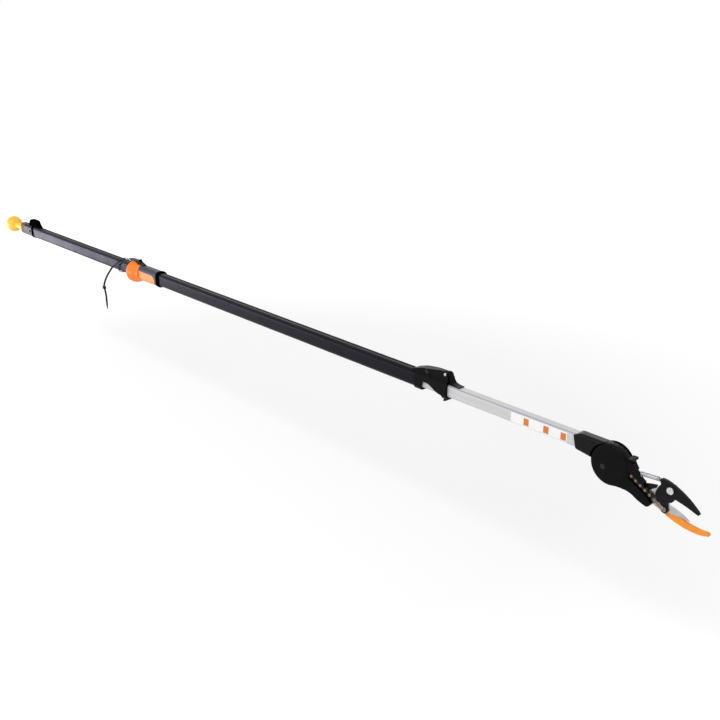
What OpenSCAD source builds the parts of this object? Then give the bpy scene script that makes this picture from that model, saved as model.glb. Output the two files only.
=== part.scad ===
// Telescopic tree pruner pole, closed, with its geared cutting head.
// X runs along the pole towards the head, Z is up, and the origin is on the
// axis of the outer tube where a hand holds it.

/* [Outer tube] */
// Width of the outer tube
tube_w = 23.5; // [23:0.5:26]
// Height of the outer tube
tube_h = 32.2; // [32:0.2:35]
// Corner radius of the outer tube
tube_r = 8; // [7:0.5:9.5]
// Wall of the outer tube
tube_wall = 1.6; // [1.3:0.1:1.8]
// Length of the outer tube behind the hand hold
tube_rear = 1043; // [950:1:1200]
// Length of the outer tube in front of the hand hold
tube_front = 648; // [600:1:700]

/* [Strap] */
// Width of the pull strap
strap_w = 11; // [8:0.5:12]
// Thickness of the pull strap
strap_t = 1; // [0.8:0.1:1.2]
// Width of the slot along the top of the outer tube
slot_w = 6; // [4:0.5:7]
// Travel of the handle and of the ball
pull_stroke = 180; // [120:1:190]

/* [Inner tube] */
// Room between the tubes at each side, which the foot bush fills
side_room = 1.15; // [0.9:0.05:1.6]
// Room between the tubes above and below
height_room = 1.6; // [1.2:0.1:2.2]
// Corner radius of the inner tube
inner_r = 4.5; // [3.5:0.5:6]
// Wall of the inner tube
inner_wall = 1.5; // [1:0.1:2]
// Distance of the inner tube's foot behind the hand hold
inner_rear = 850; // [500:1:880]
// Length of the foot bush of the inner tube
foot_len = 60; // [40:1:90]

/* [Ball] */
// Diameter of the ball knob
ball_d = 48; // [40:1:56]
// Distance of the ball's centre behind the end of the tube
ball_back = 100; // [92:1:112]
// Diameter of the collar that seats the ball on the tube
collar_d = 24; // [20:0.5:25]

/* [End fittings] */
// Length of the plug inside the tube
plug_len = 44; // [36:1:50]
// Length of the plug's ring behind the tube
plug_flange = 22; // [14:0.5:24]
// Distance of the hang-up fin's middle from the end of the tube
fin_in = 61; // [58:1:140]
// Length of the fin at its foot
fin_len = 66; // [56:1:72]
// Height of the fin over the tube
fin_h = 21; // [16:0.5:26]
// Thickness of the fin
fin_t = 14; // [12:0.5:16]
// Width of the band under the fin
band_w = 9; // [6:0.5:12]

/* [Pull handle] */
// Distance of the handle's rim behind the hand hold
handle_back = 384; // [383:1:390]
// Diameter of the handle's rim
rim_d = 56; // [50:1:62]
// Length of the flare from rim to grip
flare_len = 33; // [28:1:40]
// Length of the grip in front of the rim
grip_len = 118; // [105:1:140]
// Wall of the grip
grip_wall = 2.4; // [2:0.1:3.5]
// Height of the seam between the orange and the dark grip
seam_z = 7; // [2:0.5:9]
// Length of the black lip ring
lip_len = 9; // [6:0.5:14]

/* [Latch] */
// Width of the handle's latch
latch_w = 9.6; // [7:0.2:11]
// Diameter of the latch pin
latch_pin_d = 2.6; // [2:0.1:2.8]

/* [Clamp] */
// Length of the clamp's rear collar over the outer tube
collar_len = 12; // [10:1:18]
// Distance from the tube's end to the clamp's front face
clamp_nose = 67; // [64:1:76]
// Wall of the clamp round the tube
clamp_wall = 2.4; // [2:0.1:3]
// Width of the hump on the clamp
hump_w = 17; // [16:0.5:20]
// Height of the hump over the pole's axis
hump_h = 31.6; // [31:0.2:35]
// Diameter of the lever pin
lever_pin_d = 5; // [4:0.2:5.4]
// Length of the lever's tongue in front of its pin
tongue_len = 33; // [28:1:44]

/* [Head] */
// Distance of the swivel axis in front of the hand hold
swivel_x = 1050.5; // [1040:0.5:1100]
// Depth of the swivel axis under the pole's axis
swivel_drop = 19.6; // [18:0.2:20.4]
// Radius of the round housing
disc_r = 34; // [33:0.2:34.6]
// Half width of the housing
disc_half = 10; // [9.8:0.1:12]
// Length of the socket behind the swivel axis
socket_len = 66; // [64:1:80]
// Wall of the socket round the inner tube
socket_wall = 3; // [2.6:0.1:3.6]
// Radius of the strap drum
drum_r = 21.4; // [19:0.2:22]
// Diameter of the swivel axle
axle_d = 3.6; // [3:0.1:4]

/* [Gear] */
// Tooth module of the reduction gear
gear_m = 0.7; // [0.6:0.02:0.72]
// Teeth of the pinion
pinion_teeth = 10; // [9:1:11]
// Teeth of the gear
gear_teeth = 36; // [32:1:37]
// Width of the gear
gear_t = 2.4; // [1.6:0.1:2.5]

/* [Chain] */
// Pitch of the roller chain
chain_pitch = 9.525; // [9:0.025:9.6]
// Rollers in the chain
chain_pins = 10; // [8:1:10]
// Height of a link plate
link_h = 7; // [6:0.2:7.2]
// Thickness of a link plate
link_t = 0.6; // [0.5:0.05:0.65]
// Diameter of a roller
roller_d = 5; // [4:0.1:5.4]
// Diameter of a chain pin
chain_pin_d = 2.3; // [1.8:0.1:2.6]

/* [Blades] */
// Thickness of the cutting jaw
jaw_t = 4.6; // [4.5:0.1:5]
// Thickness of the steel counter blade
blade_t = 2.6; // [2:0.1:3]
// Thickness of the hook
hook_t = 3.5; // [3:0.1:4]
// Shank diameter of the jaw's pivot bolt
pivot_d = 8; // [6:0.2:9]
// Head diameter of the pivot bolt
pivot_head_d = 11; // [9:0.5:13]

/* [Return spring] */
// Outside diameter of the spring
spring_d = 7; // [5.5:0.1:8]
// Wire of the spring
wire_d = 1; // [0.7:0.05:1.05]
// Curls of the spring
spring_turns = 18; // [12:1:18]

/* [Tie] */
// Width of the nylon tie
tie_w = 3.6; // [2.4:0.1:4.8]

/* [Hidden] */
$fn = 48;

// Running clearances
fit = 0.05;
slide_gap = 0.3;
face_gap = 0.25;

// Section of the outer tube
lip_t = 1.3;
web_t = 1.2;
strap_room = strap_t + 0.9;
strap_play = 0.4;
bore_w = tube_w - 2 * tube_wall;
bore_h = tube_h - tube_wall - lip_t - strap_room - web_t;
bore_r = tube_r - tube_wall;
bore_z = -tube_h / 2 + tube_wall + bore_h / 2;
inner_w = bore_w - 2 * side_room;
inner_h = bore_h - 2 * height_room;
strap_floor = tube_h / 2 - lip_t - strap_room;
tube_top = tube_h / 2;
inner_top = bore_z + inner_h / 2;

// Ends of the pole
mouth_x = -tube_rear;
fin_x = mouth_x + fin_in;
band_x = fin_x - 3;
plug_screw_x = mouth_x + plug_len - 8;
collar_end = mouth_x - plug_flange - slide_gap;

// Handle stations along the pole
rim_x = -handle_back;
bell_x0 = rim_x - 12;
bell_x1 = rim_x + flare_len;
grip_x1 = rim_x + grip_len;
grip_w = tube_w + 2 * slide_gap + 2 * grip_wall;
grip_h = tube_h + 2 * slide_gap + 2 * grip_wall;
grip_r = tube_r + slide_gap + grip_wall;
rim_z = -3;
latch_floor = grip_h / 2;
latch_x = rim_x - 2;
latch_z = latch_floor + 2.8;

// Clamp stations along the pole
clamp_x0 = tube_front - collar_len;
clamp_x1 = tube_front + clamp_nose;
clamp_w = tube_w + 2 * clamp_wall;
clamp_h = tube_h + 2 * clamp_wall;
lever_x = clamp_x1 - 7.5;
lever_z = hump_h - 3.4;
hub_r = 4;
lever_slot = hump_w - 5.4;
clamp_screw_x = clamp_x0 + 26;
clamp_screw_z = tube_top + 5;

// Head layout, across the pole
swivel_z = -swivel_drop;
chain_y = -3.6;
jaw_y1 = chain_y + jaw_t / 2;
jaw_y0 = chain_y - jaw_t / 2;
blade_y0 = jaw_y1 + face_gap;
blade_y1 = blade_y0 + blade_t;
hook_y1 = blade_y1 + hook_t;
tongue_y0 = -0.6;
tongue_y1 = 7.5;
tongue_wall = 1.2;
tongue_r = disc_r - 1.8;
shell_gap = 0.3;
shell_y0 = tongue_y0 - shell_gap;
shell_y1 = tongue_y1 + shell_gap;
arm_y0 = -8.5;
arm_y1 = 8;
bridge_x = 52;
gear_y0 = -disc_half + 1.3;
gear_y1 = gear_y0 + gear_t;

// Head layout in the plane of the blades, from the swivel axis
pivot = [103.6, -3.7];
screw_at = [-11, -6.5];
lock_y0 = (tongue_y0 + tongue_y1) / 2 - 1.9;
lock_y1 = lock_y0 + 3.8;
gear_reach = gear_m * (pinion_teeth + gear_teeth) / 2;
chain_slope = -29.4;
chain_dir = [cos(chain_slope), sin(chain_slope)];
chain_up = [-chain_dir[1], chain_dir[0]];
sprocket_teeth = 6;
sprocket_r = chain_pitch / (2 * sin(180 / sprocket_teeth));
chain_end = [95.3, -38.7];
gear_angle = chain_slope + 90 - acos((chain_end * chain_up - sprocket_r) / gear_reach);
gear_at = gear_reach * [cos(gear_angle), sin(gear_angle)];
chain_play = 2.3;
sprocket_half = 0.65;
inner_gap = 0.9;
outer_gap = inner_gap + link_t + 0.1;
chain_half = outer_gap + link_t + 0.15;
tangent_at = gear_at + sprocket_r * chain_up;
chain_run = (chain_end - tangent_at) * chain_dir;
nearest_pin = chain_run - round(chain_run / chain_pitch) * chain_pitch;
seat_angle = chain_slope + 90 - nearest_pin / sprocket_r * 180 / PI;
hook_run = 7;
spring_from = [49.2, 3.6];
spring_to = [89.1, 6.7];
spring_tilt = atan2(spring_to[1] - spring_from[1], spring_to[0] - spring_from[0]);
lock_angle = 31;
drum_hub = drum_r - 2.4;
inner_strap_w = 3;
flange_t = 0.8;
drum_y0 = tongue_y0 + tongue_wall + 0.3;
drum_y1 = tongue_y1 - tongue_wall - 0.3;
rivets = [[60.4, -26.8], [72.4, -30.8]];
wind_r = drum_hub + slide_gap + strap_t / 2;
bend_at = [33 - socket_len, bore_z - inner_h / 2 + inner_wall + 2.4 - swivel_z];
wrap_angle = atan2(-bend_at[1], -bend_at[0]) - asin(wind_r / norm(bend_at));
wrap_at = bend_at + sqrt(norm(bend_at) * norm(bend_at) - wind_r * wind_r) * [cos(wrap_angle), sin(wrap_angle)];

// Route of the tie, from the hole in the handle's bell round the tube to its lock head
tie_route = [
    [-388, -12, 15], [-398, -12, 15], [-411, -12.4, 15], [-424, -13.2, 14.8], [-438, -13.9, 11.5], [-448, -14.1, 6.8],
    [-453.4, -14.2, 0], [-455.4, -14.1, -7.6], [-455.5, -12.7, -13.4], [-455, -8.9, -17.2], [-454, -3.6, -18.6],
    [-453, 3.6, -18.6], [-452.2, 8.9, -17.2], [-451.4, 12.7, -13.4], [-450.5, 14.1, -7.6], [-449.5, 14.2, 0],
    [-448.8, 14.1, 7.6], [-448.3, 12.7, 13.4], [-447.9, 8.9, 17.2], [-447.5, 3.6, 18.6],
    [-447, -4, 18.8], [-446, -10.5, 17.2], [-446.4, -15.6, 13.4], [-450.5, -18, 9], [-462, -18.4, 2], [-479, -18.4, -7.6],
    [-490, -19.6, -18], [-501, -21.2, -29.7], [-508, -22.6, -38.2], [-513.4, -24.2, -47], [-517, -26.4, -57], [-518.6, -28, -65.5]];
// Route of the tie's loose end, from the lock head to its tip
tail_route = [[-516.8, -28, -74.4], [-514, -28, -80.5], [-512, -28, -90], [-511.5, -28, -100],
    [-511.5, -28, -110], [-511.5, -28, -120], [-511, -28, -128]];
tie_head_at = [-518, -28, -70];

// Points of a bowed edge from p to q that swells s to its left, without the last point
function bow(p, q, s = 0, n = 8) =
    let (d = q - p, k = norm(d), w = [-d[1], d[0]] / k)
    [for (i = [0 : n - 1]) let (t = i / n) p + t * d + 4 * s * t * (1 - t) * w];
// Points of an arc round c
function arc(c, r, a0, a1, n = 10) = [for (i = [0 : n]) c + r * [cos(a0 + (a1 - a0) * i / n), sin(a0 + (a1 - a0) * i / n)]];
function unit(v) = v / norm(v);

// Rounded oblong, the family of all sections across the pole
module oblong(w, h, r) {
    square([w - 2 * r, h], center = true);
    square([w, h - 2 * r], center = true);
    for (x = [-1, 1], y = [-1, 1])
        translate([x * (w / 2 - r), y * (h / 2 - r)])
            circle(r);
}

// Extrudes a section given as (y, z) along the pole
module along_x(x0, x1) {
    translate([x0, 0, 0])
        rotate([90, 0, 90])
            linear_extrude(x1 - x0)
                children();
}

// Extrudes a side view given as (x, z) across the pole
module across(y0, y1) {
    translate([0, y1, 0])
        rotate([90, 0, 0])
            linear_extrude(y1 - y0)
                children();
}

// A pin across the pole at (x, z)
module cross_pin(x, z, d, y0, y1) {
    translate([x, y1, z])
        rotate([90, 0, 0])
            cylinder(d = d, h = y1 - y0);
}

// Turns a profile given as (radius, x) round the pole's direction at height z
module round_pole(z = 0) {
    translate([0, 0, z])
        rotate([0, 90, 0])
            rotate_extrude($fn = 72)
                children();
}

// Moves the head's own frame to the swivel axis
module at_head() {
    translate([swivel_x, 0, swivel_z])
        children();
}

// Route through all given points, k steps to each
function smooth(p, k) = let (n = len(p) - 1) concat(
    [for (i = [0 : n - 1], j = [0 : k - 1])
        let (t = j / k, a = p[max(i - 1, 0)], b = p[i], c = p[i + 1], d = p[min(i + 2, n)])
        0.5 * (2 * b + t * (c - a) + t * t * (2 * a - 5 * b + 4 * c - d) + t * t * t * (3 * b - a - 3 * c + d))],
    [p[n]]);
// Sideways direction at ring i, carried along the route without twist
function carried(dirs, i) = i == 0 ? unit(cross(dirs[0], [0.1, 0.3, 1]))
    : let (w = carried(dirs, i - 1)) unit(w - (w * dirs[i]) * dirs[i]);

// Swept tube of n sides along a route, with flat ends
module swept(route, r, n = 8) {
    last = len(route) - 1;
    dirs = [for (i = [0 : last]) unit(route[min(i + 1, last)] - route[max(i - 1, 0)])];
    side = [for (i = [0 : last]) carried(dirs, i)];
    rings = [for (i = [0 : last]) let (u = side[i], v = cross(dirs[i], u))
        [for (k = [0 : n - 1]) route[i] + r * (cos(360 * k / n) * u + sin(360 * k / n) * v)]];
    points = [for (ring = rings) each ring];
    walls = [for (i = [0 : last - 1], k = [0 : n - 1])
        let (a = i * n + k, b = i * n + (k + 1) % n)
        each [[a, b, b + n], [a, b + n, a + n]]];
    foot = [for (k = [1 : n - 2]) [0, k + 1, k]];
    top = [for (k = [1 : n - 2]) [last * n, last * n + k, last * n + k + 1]];
    polyhedron(points, [for (f = concat(walls, foot, top)) [f[0], f[2], f[1]]]);
}

module tube_outline(grow = 0) {
    oblong(tube_w + 2 * grow, tube_h + 2 * grow, tube_r + grow);
}

module inner_outline(grow = 0) {
    translate([0, bore_z])
        oblong(inner_w + 2 * grow, inner_h + 2 * grow, inner_r + grow);
}

// Extruded tube with the strap channel along its top
module outer_tube() {
    color("#26262b")
    difference() {
        along_x(mouth_x, tube_front)
            difference() {
                tube_outline();
                translate([0, bore_z])
                    oblong(bore_w, bore_h, bore_r);
                translate([0, strap_floor + strap_room / 2])
                    square([strap_w + 2 * strap_play, strap_room], center = true);
                translate([0, tube_top])
                    square([slot_w, 2 * lip_t + fit], center = true);
            }
        cross_pin(plug_screw_x, bore_z, 4 + 2 * fit, -tube_w, 0);
    }
}

// Moulded plug that closes the tube and lets the strap through
module end_plug() {
    color("#4a3a2c")
    difference() {
        union() {
            along_x(mouth_x - plug_flange, mouth_x)
                tube_outline();
            along_x(mouth_x, mouth_x + plug_len)
                translate([0, bore_z])
                    oblong(bore_w - 2 * fit, bore_h - 2 * fit, bore_r - fit);
        }
        along_x(mouth_x - plug_flange - 1, mouth_x + plug_len + 1)
            translate([0, bore_z])
                square([strap_w + 2, strap_t + 1.2], center = true);
        cross_pin(plug_screw_x, bore_z, 4 + 2 * fit, -tube_w, -strap_w / 2 - 2);
    }
}

// Pan-head screw that holds the plug
module plug_screw() {
    color("#33333a")
    union() {
        cross_pin(plug_screw_x, bore_z, 4, -tube_w / 2 - 0.5, -strap_w / 2 - 2.2);
        difference() {
            cross_pin(plug_screw_x, bore_z, 7, -tube_w / 2 - 1.8, -tube_w / 2 - fit);
            cross_pin(plug_screw_x, bore_z, 3, -tube_w / 2 - 2, -tube_w / 2 - 1, $fn = 6);
        }
    }
}

// Rounded fin that stands on the tube, to hang the pole up by
module hangup_fin() {
    foot = fin_len / 2;
    crest = tube_top + fin_h;
    back_line = [[fin_x + foot, tube_top + 0.4], [fin_x + 0.74 * foot, tube_top + 0.34 * fin_h],
        [fin_x + 0.4 * foot, crest - 1.4], [fin_x, crest], [fin_x - 0.4 * foot, crest - 0.3],
        [fin_x - 0.66 * foot, crest - 3.4], [fin_x - 0.86 * foot, tube_top + 0.46 * fin_h], [fin_x - foot, tube_top + 0.4]];
    color("#111113")
    difference() {
        intersection() {
            across(-fin_t / 2, fin_t / 2)
                polygon(concat([[fin_x - foot, tube_top - 6], [fin_x + foot, tube_top - 6]], smooth(back_line, 5)));
            along_x(fin_x - foot - 1, fin_x + foot + 1)
                translate([0, crest - 30])
                    oblong(fin_t, 60, 5);
        }
        along_x(fin_x - foot - 1, fin_x + foot + 1)
            tube_outline(fit);
        along_x(band_x - band_w / 2 - fit, band_x + band_w / 2 + fit)
            tube_outline(1.8 + fit);
    }
}

// Thin band round the tube that holds the fin
module fin_band() {
    color("#141416")
    along_x(band_x - band_w / 2, band_x + band_w / 2)
        difference() {
            tube_outline(1.8);
            tube_outline(fit);
        }
}

// Flat strap lying in the channel of the outer tube
module channel_strap() {
    color("#1b1b1d")
    along_x(fin_x, tube_front - 4)
        translate([0, strap_floor + strap_t / 2])
            square([strap_w, strap_t], center = true);
}

// Ball knob, turned, with its neck and seating collar
module ball_knob() {
    ball_r = ball_d / 2;
    centre = mouth_x - ball_back;
    neck_r = collar_d / 2 - 3;
    join = asin(neck_r / ball_r);
    neck_x = centre + ball_r * cos(join);
    color("#f7a823")
    difference() {
        round_pole(bore_z)
            polygon(concat(
                [for (a = [0 : 6 : 180 - join]) [ball_r * sin(a), centre - ball_r * cos(a)]],
                [[neck_r, neck_x], [neck_r, collar_end - 20]],
                arc([neck_r, collar_end - 17], 3, -90, 0, 5),
                arc([collar_d / 2 - 1.5, collar_end - 1.5], 1.5, 0, 90, 4),
                [[0, collar_end]]));
        along_x(collar_end - 16, collar_end + 1)
            translate([0, bore_z])
                square([strap_w + 2 * fit, strap_t + 2 * fit], center = true);
    }
}

// Strap that follows the ball out of the tube
module ball_strap() {
    color("#1b1b1d")
    along_x(collar_end - 16, mouth_x + pull_stroke + 6)
        translate([0, bore_z])
            square([strap_w, strap_t], center = true);
}

// Side view of the orange panel in the grip, with its rounded upper corner
module panel_side() {
    corner = 15;
    end = grip_x1 - 8;
    polygon(concat(
        [[bell_x1 - 2, -grip_h], [end, -grip_h]],
        arc([end - corner, seam_z - corner], corner, 0, 90, 10),
        [[bell_x1 - 2, seam_z]]));
}

// Orange hand stop with the lower half of the grip
module handle_bell() {
    rim_r = rim_d / 2;
    low_r = grip_h / 2;
    color("#f58220")
    difference() {
        union() {
            round_pole(rim_z)
                polygon(concat(
                    [[0, bell_x0], [rim_r - 9, bell_x0]],
                    arc([rim_r - 9, bell_x0 + 9], 9, -80, -10, 6),
                    arc([rim_r - 3, rim_x], 3, -10, 60, 5),
                    [for (t = [0.1 : 0.1 : 1]) [low_r + (rim_r - low_r - 0.4) * (1 + cos(180 * t)) / 2,
                        rim_x + 3 + (flare_len - 3) * t]],
                    [[0, bell_x1]]));
            along_x(bell_x0 + 4, bell_x1)
                oblong(grip_w, grip_h, grip_r);
            intersection() {
                along_x(bell_x1 - 1, grip_x1)
                    oblong(grip_w, grip_h, grip_r);
                across(-grip_w, grip_w)
                    panel_side();
            }
        }
        along_x(bell_x0 - 1, grip_x1)
            tube_outline(slide_gap);
        translate([bell_x0 - 1, -latch_w / 2 - 0.4, latch_floor])
            cube([flare_len + 20, latch_w + 0.8, rim_d]);
        cross_pin(latch_x, latch_z, latch_pin_d + 2 * fit, -8.4, 8.4);
        translate(tie_route[0] + [1, 0, 0])
            rotate([0, -90, 0])
                cylinder(d = tie_w + 1.4, h = 40);
    }
}

// Dark upper half of the grip, closed to a ring at the front
module grip_sleeve() {
    color("#3c3c44")
    difference() {
        along_x(bell_x1, grip_x1)
            difference() {
                oblong(grip_w, grip_h, grip_r);
                tube_outline(slide_gap);
            }
        across(-grip_w, grip_w)
            panel_side();
    }
}

// Black lip ring at the front of the grip, with a rounded shoulder
module grip_lip() {
    color("#0f0f10")
    difference() {
        union() {
            along_x(grip_x1, grip_x1 + lip_len - 2)
                tube_outline(slide_gap + grip_wall + 1);
            along_x(grip_x1 + 1, grip_x1 + lip_len)
                tube_outline(slide_gap + grip_wall);
        }
        along_x(grip_x1 - 1, grip_x1 + lip_len + 1)
            tube_outline(slide_gap);
    }
}

// Key under the handle that runs in the slot and bites on the strap
module strap_shoe() {
    color("#55555b")
    along_x(rim_x + 4, grip_x1 - 4)
        translate([0, (strap_floor + strap_t + slide_gap + tube_top + slide_gap) / 2])
            square([slot_w - 2 * slide_gap, tube_top - strap_floor - strap_t], center = true);
}

module latch_pin() {
    color("#b9b9bd")
    cross_pin(latch_x, latch_z, latch_pin_d, -8, 8);
}

// Lever on the handle that lets go of the strap when it is lifted
module handle_latch() {
    low = latch_floor + 0.5;
    tail_x = rim_x + 44;
    color("#0d0d0e")
    difference() {
        across(-latch_w / 2, latch_w / 2)
            polygon(concat(
                bow([rim_x - 31, low + 5], [latch_x, low]),
                bow([latch_x, low], [tail_x, low]),
                bow([tail_x, low], [tail_x - 1.5, low + 1.8], -0.3),
                bow([tail_x - 1.5, low + 1.8], [rim_x + 25, low + 7.2], 0.8),
                bow([rim_x + 25, low + 7.2], [rim_x + 21, low + 12.5]),
                bow([rim_x + 21, low + 12.5], [rim_x + 18.5, low + 8], -0.5),
                bow([rim_x + 18.5, low + 8], [rim_x - 31, low + 6.6], -1.2)));
        cross_pin(latch_x, latch_z, latch_pin_d + 2 * fit, -latch_w, latch_w);
    }
}

// Nylon tie from the handle round the tube
module tie_strap() {
    color("#101010")
    swept(smooth(tie_route, 3), tie_w / 2);
}

// Ratchet head of the tie
module tie_head() {
    color("#101010")
    difference() {
        translate(tie_head_at)
            cube([9, 6.4, 7.6], center = true);
        translate(tie_head_at + [-3.6, 0, 0])
            cube([3, 3, 9], center = true);
    }
}

// Loose end of the tie
module tie_tail() {
    color("#101010")
    swept(smooth(tail_route, 2), tie_w / 2 - 0.4);
}

// Side view of the clamp, with the finger cut-out under its neck
module clamp_side() {
    neck = tube_front + 4;
    hook_x = clamp_x1 - 12;
    low = -clamp_h / 2;
    polygon(concat(
        bow([clamp_x0, low], [neck - 3, low - 0.2]),
        bow([neck - 3, low - 0.2], [neck, low + 2], -0.6),
        bow([neck, low + 2], [neck + 2, -3], 0.4),
        bow([neck + 2, -3], [neck + 12, 2.4], 2.4),
        [for (t = [0 : 0.1 : 1]) [neck + 12 + (hook_x - neck - 12) * t, 2.4 - 13 * (1 - cos(180 * t)) / 2]],
        bow([hook_x + 1.4, -13], [hook_x - 2.4, low - 5.6], 1),
        bow([hook_x - 2.4, low - 5.6], [clamp_x1 - 3, low - 1.6], -1),
        bow([clamp_x1 - 3, low - 1.6], [clamp_x1, low + 5], -0.8),
        bow([clamp_x1, low + 5], [clamp_x1, inner_top + 3]),
        bow([clamp_x1, inner_top + 3], [lever_x + 4.6, lever_z - 0.4], -1),
        arc([lever_x, lever_z], 4.3, 15, 95, 8),
        bow([lever_x - 5, hump_h + 0.6], [clamp_x0 + 24, hump_h - 4.8], -0.6),
        bow([clamp_x0 + 24, hump_h - 4.8], [clamp_x0 + 2, hump_h - 10], -0.8),
        bow([clamp_x0 + 2, hump_h - 10], [clamp_x0 - 11, tube_top + 0.4], -0.6),
        [[clamp_x0 - 11, tube_top - 1], [clamp_x0, tube_top - 1]]));
}

// Moulded clamp on the end of the outer tube
module clamp_body() {
    keel_w = 10;
    color("#0e0e10")
    difference() {
        intersection() {
            across(-clamp_w, clamp_w)
                clamp_side();
            along_x(clamp_x0 - 12, clamp_x1 + 1) {
                tube_outline(clamp_wall);
                translate([0, hump_h / 2 - 4])
                    oblong(hump_w, hump_h + 8, 5);
                translate([0, -clamp_h / 2])
                    oblong(keel_w, 20, 4);
            }
        }
        along_x(clamp_x0 - 13, tube_front)
            tube_outline(fit);
        along_x(tube_front - 1, clamp_x1 + 2)
            inner_outline(slide_gap);
        translate([lever_x - hub_r - 1, -lever_slot / 2, inner_top - 1])
            cube([40, lever_slot, hump_h]);
        cross_pin(lever_x, lever_z, lever_pin_d + 2 * fit, -hump_w, hump_w);
        cross_pin(clamp_screw_x, clamp_screw_z, 4 + 2 * fit, -hump_w / 2 - 1, hump_w / 2 - 4);
        cross_pin(clamp_screw_x, clamp_screw_z, 7.4, -hump_w / 2 - 1, -hump_w / 2 + 2);
    }
}

// Cross screw that tightens the hump
module clamp_screw() {
    color("#2b2b30")
    difference() {
        union() {
            cross_pin(clamp_screw_x, clamp_screw_z, 4, -hump_w / 2 + 1.5, hump_w / 2 - 4.2);
            cross_pin(clamp_screw_x, clamp_screw_z, 7.2, -hump_w / 2 + 0.4, -hump_w / 2 + 2 - fit);
        }
        cross_pin(clamp_screw_x, clamp_screw_z, 3, -hump_w / 2, -hump_w / 2 + 1.2, $fn = 6);
    }
}

// Brake block between the lever's cam and the inner tube
module clamp_pad() {
    color("#2d2d30")
    along_x(lever_x - hub_r - 0.6, lever_x + hub_r - 2)
        translate([-lever_slot / 2 + 0.3, inner_top + slide_gap])
            square([lever_slot - 0.6, lever_z - hub_r - slide_gap - inner_top - slide_gap]);
}

module lever_pin() {
    color("#e4e4e6")
    cross_pin(lever_x, lever_z, lever_pin_d, -hump_w / 2 - 0.6, hump_w / 2 + 0.6);
}

// Quick lever with its tongue lying on the inner tube
module clamp_lever() {
    under = inner_top + 0.6;
    front = clamp_x1 + 0.6;
    half = lever_slot / 2 + 1;
    color("#0c0c0d")
    difference() {
        union() {
            across(-lever_slot / 2 + 0.4, lever_slot / 2 - 0.4)
                union() {
                    translate([lever_x, lever_z])
                        circle(hub_r);
                    polygon([[lever_x + 3.4, lever_z - 3.6], [front + 1, under + 3], [front + 1, lever_z - 4],
                        [lever_x + 2.6, lever_z + 4.2]]);
                }
            across(-half, half)
                polygon(concat(
                    bow([front, under + 0.4], [lever_x + tongue_len, under]),
                    bow([lever_x + tongue_len, under], [lever_x + tongue_len - 1, under + 1.2], -0.3),
                    bow([lever_x + tongue_len - 1, under + 1.2], [front + 7, under + 3.4], 0.8),
                    bow([front + 7, under + 3.4], [front + 1.6, lever_z - 7], 0.6),
                    bow([front + 1.6, lever_z - 7], [front, lever_z - 3.6], -0.3)));
        }
        cross_pin(lever_x, lever_z, lever_pin_d + 2 * fit, -hump_w, hump_w);
    }
}

// Bright inner tube
module inner_tube() {
    color("#d2d2d3")
    along_x(-inner_rear, swivel_x - socket_len + 26)
        difference() {
            inner_outline();
            inner_outline(-inner_wall);
        }
}

// Sliding bush on the foot of the inner tube
module foot_bush() {
    color("#1d1d20")
    along_x(-inner_rear - 4, -inner_rear + foot_len)
        difference() {
            translate([0, bore_z])
                oblong(bore_w - 2 * fit - 0.1, bore_h - 2 * fit - 0.1, bore_r - fit);
            inner_outline(fit);
        }
}

// Run of the inner strap from x0 past its bend to the underside of the drum
module strap_run(x0, half, w) {
    n = [-sin(wrap_angle), cos(wrap_angle)];
    mid_y = (tongue_y0 + tongue_y1) / 2;
    across(mid_y - w / 2, mid_y + w / 2)
        polygon([[x0, bend_at[1] - half], bend_at - [0, half], wrap_at - half * n,
            wrap_at + half * n, bend_at + [0, half], [x0, bend_at[1] + half]]);
}

// Strap inside the inner tube, down to the underside of the drum
module inner_strap() {
    color("#1b1b1d")
    at_head()
        strap_run(-inner_rear - swivel_x, strap_t / 2, inner_strap_w);
}

// Side view of the socket, without its tongue
module socket_side() {
    back = swivel_x - socket_len;
    high = inner_top + socket_wall + 0.2;
    low = bore_z - inner_h / 2 - socket_wall;
    polygon(concat(
        bow([back + 6, low - 1], [swivel_x - 8, low - 12]),
        bow([swivel_x - 8, low - 12], [swivel_x - 2, high]),
        bow([swivel_x - 2, high], [back + 13, high]),
        bow([back + 13, high], [back, high - 4.4], -0.8),
        bow([back, high - 4.4], [back + 6, low - 1])));
}

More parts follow.
